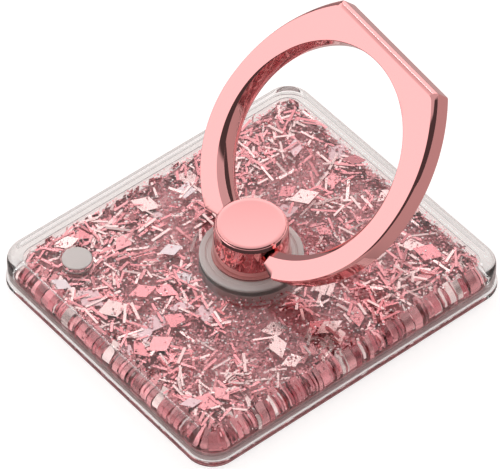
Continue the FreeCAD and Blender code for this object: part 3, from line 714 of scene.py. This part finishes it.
def finish_glitter(name, points, faces, material, slot, replaced=()):
    mesh = bpy.data.meshes.new(name)
    mesh.from_pydata(points, [], faces)
    mesh.materials.append(material)
    piece = bpy.data.objects.new(name, mesh)
    bpy.context.scene.collection.objects.link(piece)
    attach(piece, "case")
    if replaced:
        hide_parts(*replaced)
    print(name, len(faces), "faces")


def lying(x, y, z, turn, lean, roll):
    """A matrix that lays a plate down, turned about Z and tilted a little, angles in degrees."""
    return (Matrix.Translation((x, y, z)) @ Matrix.Rotation(math.radians(turn), 4, "Z")
            @ Matrix.Rotation(math.radians(lean), 4, "X") @ Matrix.Rotation(math.radians(roll), 4, "Y"))


# %% [markdown]
# ## Where the glitter lies
# Oil carries the glitter into drifts. The photographed case has dense drifts of strips on the left
# and at the back, and two bare places with dust only. A drift is a point that strips gather round.

# %% The drifts of strips
STRIPS, DRIFTS, DRIFT_SPREAD = 1050, 46, 1.7
SHARE_IN_DRIFTS, SHARE_KEPT_OUT = 0.7, 0.93
STRIP_LOW, STRIP_HIGH, STRIP_TILT = 2.45, 3.62, 3.2
# Middle and radius of each place with dust only
BARE_PLACES = ((-5.5, -8.5, 4.2), (17.5, -9.5, 3.2))
chance = random.Random(5)
drifts = [(chance.uniform(-HALF_LENGTH, HALF_LENGTH), chance.uniform(-HALF_WIDTH, HALF_WIDTH))
          for _ in range(DRIFTS)]


def bare(x, y):
    return any(math.hypot(x - place_x, y - place_y) < radius for place_x, place_y, radius in BARE_PLACES)


points, faces = [], []
strips = 0
while strips < STRIPS:
    if chance.random() < SHARE_IN_DRIFTS:
        drift_x, drift_y = chance.choice(drifts)
        x, y = chance.gauss(drift_x, DRIFT_SPREAD), chance.gauss(drift_y, DRIFT_SPREAD)
    else:
        x, y = chance.uniform(-HALF_LENGTH, HALF_LENGTH), chance.uniform(-HALF_WIDTH, HALF_WIDTH)
    if bare(x, y) and chance.random() < SHARE_KEPT_OUT:
        continue
    half, side = chance.uniform(0.6, 1.4), chance.uniform(0.11, 0.16)
    stand = lying(x, y, chance.uniform(STRIP_LOW, STRIP_HIGH), chance.uniform(0, 360),
                  chance.gauss(0, STRIP_TILT), chance.gauss(0, STRIP_TILT))
    strips += add_plate(points, faces, [(-half, -side), (half, -side), (half, side), (-half, side)],
                        stand, FILM_THICK)
finish_glitter("tinsel", points, faces, rose_film, "rose_film", ["tinsel_strips"])

# %% [markdown]
# ## Diamonds
# The biggest flakes are diamonds, a few pearl white and most of them rose. The ones that stand out in
# the photograph are listed one by one, and the rest fall where they like.

# %% The diamonds
ROSE_PLACED = ((-14.5, -3.1), (-15.6, 13.4), (5.4, 1.2), (-8.6, 10.2), (-3.6, 12.9), (9.8, 3.2),
               (-11.4, 3.6), (13.1, -5.2))
PEARL_PLACED = ((-14.8, -1.0), (-17.0, -3.2), (-17.0, -11.2), (-5.6, 6.2), (6.3, -0.2), (-17.2, 9.6))
DIAMOND_TILT, TRIES_EACH = 2.5, 5


def diamonds(seed, placed, loose, low, high):
    """Plates of diamonds, the placed ones on top."""
    chance = random.Random(seed)
    points, faces = [], []
    made = 0
    for number in range(len(placed) + loose * TRIES_EACH):
        if made == len(placed) + loose:
            break
        if number < len(placed):
            x, y = placed[number]
            z = high
        else:
            x, y = chance.uniform(-HALF_LENGTH, HALF_LENGTH), chance.uniform(-HALF_WIDTH, HALF_WIDTH)
            z = chance.uniform(low, high)
        half = chance.uniform(1.15, 1.75)
        side = half * chance.uniform(0.55, 0.75)
        stand = lying(x, y, z, chance.uniform(0, 360), chance.gauss(0, DIAMOND_TILT),
                      chance.gauss(0, DIAMOND_TILT))
        made += add_plate(points, faces, [(-half, 0), (0, -side), (half, 0), (0, side)], stand,
                          FILM_THICK)
    return points, faces


finish_glitter("rose_flakes", *diamonds(6, ROSE_PLACED, 46, 2.6, 3.45), rose_film, "rose_film",
               ["rose_diamonds"])
finish_glitter("pearl_flakes", *diamonds(7, PEARL_PLACED, 10, 2.8, 3.5), pearl_film, "pearl_film",
               ["pearl_diamonds"])

# %% Dust, in the upper oil
SPECKS, DUST_LOW, DUST_HIGH, DUST_TILT = 16000, 1.6, 3.6, 9
chance = random.Random(8)
points, faces = [], []
specks = 0
while specks < SPECKS:
    half = chance.uniform(0.05, 0.115)
    stand = lying(chance.uniform(-HALF_LENGTH, HALF_LENGTH), chance.uniform(-HALF_WIDTH, HALF_WIDTH),
                  chance.uniform(DUST_LOW, DUST_HIGH), chance.uniform(0, 360),
                  chance.gauss(0, DUST_TILT), chance.gauss(0, DUST_TILT))
    specks += add_plate(points, faces, [(-half, -half), (half, -half), (half, half), (-half, half)],
                        stand, DUST_THICK)
finish_glitter("fine_glitter", points, faces, dust_film, "rose_film")

# %% Film that stands against the walls
WALL_LAYERS, LAYER_STEP, NARROW_SHARE = 2, 0.35, 0.35
WALL_FOOT, WALL_CROWN = 1.5, 3.55
wall = cavity_plan(WALL_GAP)
runs = [(start, stop - start) for start, stop in zip(wall, wall[1:] + wall[:1])]


def wall_place(distance):
    """The place after a distance along the wall, and the angle of the way out there."""
    for start, run in runs:
        if distance <= run.length:
            return start + run.normalized() * distance, math.atan2(-run.x, run.y)
        distance -= run.length
    return wall[0], 0.0


chance = random.Random(9)
points, faces = [], []
around = sum(run.length for _, run in runs)
for layer in range(WALL_LAYERS):
    walked = 0.0
    while walked < around:
        half, tall = chance.uniform(0.1, 0.55), chance.uniform(0.5, 1.0)
        walked += half
        place, way_out = wall_place(walked)
        lean, turn = chance.uniform(2, 42), chance.gauss(0, 12)
        depth = tall * sine(lean) + chance.uniform(0.05, 0.15) + LAYER_STEP * layer
        middle = chance.uniform(WALL_FOOT + tall, WALL_CROWN - tall)
        stand = (Matrix.Translation((place.x, place.y, middle)) @ Matrix.Rotation(way_out, 4, "Z")
                 @ Matrix.Translation((-depth, 0, 0)) @ Matrix.Rotation(math.radians(90 + turn), 4, "Z")
                 @ Matrix.Rotation(math.radians(90 - lean), 4, "X"))
        for share in (1.0, NARROW_SHARE):
            wide = half * share
            if add_plate(points, faces, [(-wide, -tall), (wide, -tall), (wide * 0.9, tall), (-wide, tall)],
                         stand, FILM_THICK):
                break
        walked += half * chance.uniform(0.9, 1.7)
finish_glitter("wall_glitter", points, faces, wall_film_painted_shade, "rose_film")

# %% The bed of sunken glitter


BED_INSET, BED_FOOT, BED_TOP = 0.2, TRAY_FLOOR + 0.04, TRAY_FLOOR + 0.1


def bed_plan(inset):
    return cavity_plan(inset + BED_INSET)


bm = bmesh.new()
bed_skin = carry_up(bm, bed_plan, [(0, BED_FOOT), (0, BED_TOP)])
bed_pillar = turn_round(bm, [(PILLAR_RADIUS + WALL_GAP, BED_FOOT), (PILLAR_RADIUS + WALL_GAP, BED_TOP)],
                        128)
fill_flat(bm, [bed_skin[0], bed_pillar[0]])
fill_flat(bm, [bed_skin[1], bed_pillar[1]])
finish_piece("glitter_bed", bm, "case", [bed_film])

# %% [markdown]
# ## The hub
# The hub is turned on a lathe: a flat face with a fine groove and a sloped rim, a slightly tapered
# wall and a foot. A profile carried round the axis is how it is made, and how it is modelled.

# %% The turned hub
FOOT_RADIUS, WALL_TOP, FACE_RADIUS = 4.12, 3.86, 3.54
SHANK_RADIUS, SCREW_RADIUS, SCREW_REACH = 2.0, 1.0, 4.7
# The groove lies just outside the face, and from it the rim slopes down to the wall
GROOVE_INNER, GROOVE_OUTER, GROOVE_DEPTH = 0.06, 0.14, 0.15
SLOPE_INSET, SLOPE_DEPTH, LIP_DEPTH, RIM_DEPTH = 0.03, 0.42, 0.47, 0.53
FOOT_STEP, FOOT_RISE, FOOT_UPRIGHT = 0.05, 0.18, 0.1
# The face is dished by a few hundredths, as polishing leaves it
DISH, DISH_STEPS = 0.03, 8
face = [(FACE_RADIUS * step / DISH_STEPS, HUB_TOP - DISH * (1 - (step / DISH_STEPS) ** 2), 0)
        for step in range(DISH_STEPS)]
bm = bmesh.new()
turn_round(bm, rounded(face + [
    (FACE_RADIUS, HUB_TOP, 0.04), (FACE_RADIUS + GROOVE_INNER, HUB_TOP - GROOVE_DEPTH, 0.03),
    (FACE_RADIUS + GROOVE_OUTER, HUB_TOP - GROOVE_DEPTH, 0.04),
    (WALL_TOP - SLOPE_INSET, HUB_TOP - SLOPE_DEPTH, 0.05),
    (WALL_TOP, HUB_TOP - LIP_DEPTH, 0.03), (WALL_TOP, HUB_TOP - RIM_DEPTH, 0.04),
    (FOOT_RADIUS - FOOT_STEP, HUB_FOOT + FOOT_RISE, 0.03),
    (FOOT_RADIUS, HUB_FOOT + FOOT_UPRIGHT, 0.03),
    (FOOT_RADIUS, HUB_FOOT, 0.05), (SHANK_RADIUS, HUB_FOOT, 0.05), (SHANK_RADIUS, SHANK_FOOT, 0.05),
    (SCREW_RADIUS, SHANK_FOOT, 0), (SCREW_RADIUS, SCREW_REACH, 0), (0, SCREW_REACH, 0)], steps=4), 160)
finish_piece("hub_body", bm, "hub", [rose_gold], ["swivel_hub"])

# %% [markdown]
# ## The finger ring
# The ring is a flat casting with a round hole for the finger. Its outline is round by the hub and
# runs into two corners with a straight edge between them. A bevel runs round its outer edge and
# widens to the corners, and another opens the hole towards the hub. The outline is given as a
# distance from the hole's middle at each angle, and one cross-section is carried round at those
# angles. Two lugs end the band beside the hub, with square faces and slanted backs. The pin's holes
# in them aren't cut, because the pin and the hub hide them.

# %% The ring's outline
HOLE_X, HOLE_RADIUS, HOLE_SHIFT = 11.2, 11.03, 0.22
HALF_THICK = 1.225
BEVEL_DEPTH, BEVEL_BOW, BACK_CHAMFER = 0.42, 0.12, 0.2
# For the outline and the front face: radius by the hub, radius at the sides, flat edge, corners
OUTLINE, FRONT_FACE = (13.6, 19.0, 24.55, 0.35), (13.45, 17.5, 23.88, 0.95)
# The round part by the hub and the inner bevel lie a little nearer the hub than the hole does
OUTLINE_SHIFT, INNER_SHIFT, INNER_RADIUS, INNER_SLOPE = -0.3, -0.3, 11.35, 0.6
LEAST_BEVEL, LEAST_EDGE = 0.08, 0.05
# The finger hole's wall is a little barrel-shaped, which draws its reflections into long lines
CROWN, CROWN_HEIGHT, CROWN_ROUND = 0.1, -0.3, 3.0
LUG_FACE, LUG_BACK, LUG_SLANT = 4.15, -0.343, 0.266
CORNER_ANGLE = 31.3


def circle_distance(angle, radius, shift):
    """How far a circle lies from the hole's middle if its own middle is shifted along the axis."""
    return shift * math.cos(angle) + math.sqrt(radius ** 2 - (shift * math.sin(angle)) ** 2)


def outline_distance(angle, hub_radius, side_radius, flat, corner):
    """How far the outline lies from the hole's middle at an angle from the ring's axis."""
    along, across = math.cos(angle), abs(math.sin(angle))
    if along <= 0:
        back = -along - LUG_SLANT * across
        round_part = circle_distance(angle, hub_radius, OUTLINE_SHIFT)
        return min(round_part, (HOLE_X + LUG_BACK) / back) if back > 0 else round_part
    lift = side_radius - hub_radius
    reach = flat - HOLE_X
    side = -lift * across + math.sqrt(side_radius ** 2 - (lift * along) ** 2)
    corner_x = reach - corner
    corner_y = math.sqrt((side_radius - corner) ** 2 - corner_x ** 2) - lift
    turn = math.atan2(corner_y + lift, corner_x)
    touch = Vector((corner_x + corner * math.cos(turn), corner_y + corner * math.sin(turn)))
    if math.atan2(across, along) >= math.atan2(touch.y, touch.x):
        return side
    if math.atan2(across, along) <= math.atan2(corner_y, reach):
        return reach / along
    towards_corner = corner_x * along + corner_y * across
    return towards_corner + math.sqrt(towards_corner ** 2 - corner_x ** 2 - corner_y ** 2 + corner ** 2)


def section(angle):
    """The band's cross-section at an angle: corners of (distance, height, radius)."""
    outer = outline_distance(angle, *OUTLINE)
    face = min(outline_distance(angle, *FRONT_FACE), outer - LEAST_EDGE)
    hole = circle_distance(angle, HOLE_RADIUS, HOLE_SHIFT)
    inner = max(circle_distance(angle, INNER_RADIUS, INNER_SHIFT), hole + LEAST_BEVEL)
    depth = max(INNER_SLOPE * (inner - hole - CROWN / 2), LEAST_BEVEL)
    bevel_wide = outer - face
    slant = math.hypot(bevel_wide, BEVEL_DEPTH)
    bow = BEVEL_BOW * slant
    middle = ((outer + face) / 2 + bow * BEVEL_DEPTH / slant,
              HALF_THICK - BEVEL_DEPTH / 2 + bow * bevel_wide / slant)
    return [(outer, -HALF_THICK + BACK_CHAMFER, 0.05), (outer, HALF_THICK - BEVEL_DEPTH, 0.04),
            (*middle, 0.3), (face, HALF_THICK, 0.06), (inner, HALF_THICK, 0.06),
            (hole + CROWN / 2, HALF_THICK - depth, 0.05), (hole - CROWN / 2, CROWN_HEIGHT, CROWN_ROUND),
            (hole + CROWN / 2, -HALF_THICK, 0.1), (outer - BACK_CHAMFER, -HALF_THICK, 0.05)]


corner_distance = outline_distance(math.radians(CORNER_ANGLE), *OUTLINE)
print("corner at %.2f mm from the hole's middle" % corner_distance)

# %% The ring's band
LAST_ANGLE, NEAR_LUG = 163, 6
# Sections stand 1.5 degrees apart, closer together round the corners and by the lugs
angles = sorted({round(step * 1.5, 3) for step in range(-108, 109)}
                | {side * (31.5 + step * 0.25) for side in (-1, 1) for step in range(-16, 17)}
                | {side * (150 + step * 0.5) for side in (-1, 1) for step in range(26)}
                | {-LAST_ANGLE, LAST_ANGLE})
bm = bmesh.new()
rings = []
for degrees in angles:
    angle = math.radians(degrees)
    rings.append([bm.verts.new((HOLE_X + point.x * math.cos(angle), point.x * math.sin(angle), point.y))
                  for point in rounded(section(angle), steps=3, closed=True)])
for first, second in zip(rings, rings[1:]):
    join_rings(bm, first, second)
for side in (-1, 1):
    lug_points = [vertex for vertex in bm.verts if vertex.co.x < NEAR_LUG and vertex.co.y * side > 0]
    in_lug = set(lug_points)
    lug_edges = [edge for edge in bm.edges if in_lug.issuperset(edge.verts)]
    lug_faces = [face for face in bm.faces if in_lug.issuperset(face.verts)]
    cut = bmesh.ops.bisect_plane(bm, geom=lug_points + lug_edges + lug_faces,
                                 plane_co=(0, side * LUG_FACE, 0), plane_no=(0, -side, 0),
                                 clear_outer=True)
    rim = [item for item in cut["geom_cut"] if isinstance(item, bmesh.types.BMEdge)]
    bmesh.ops.edgeloop_fill(bm, edges=rim)
raised = (Matrix.Translation((0, 0, PIVOT_HEIGHT)) @ Matrix.Rotation(math.radians(SWIVEL), 4, "Z")
          @ Matrix.Rotation(math.radians(-TILT), 4, "Y"))
bm.transform(raised)
finish_piece("ring_band", bm, "ring", [rose_gold], ["finger_ring"], crease=24)
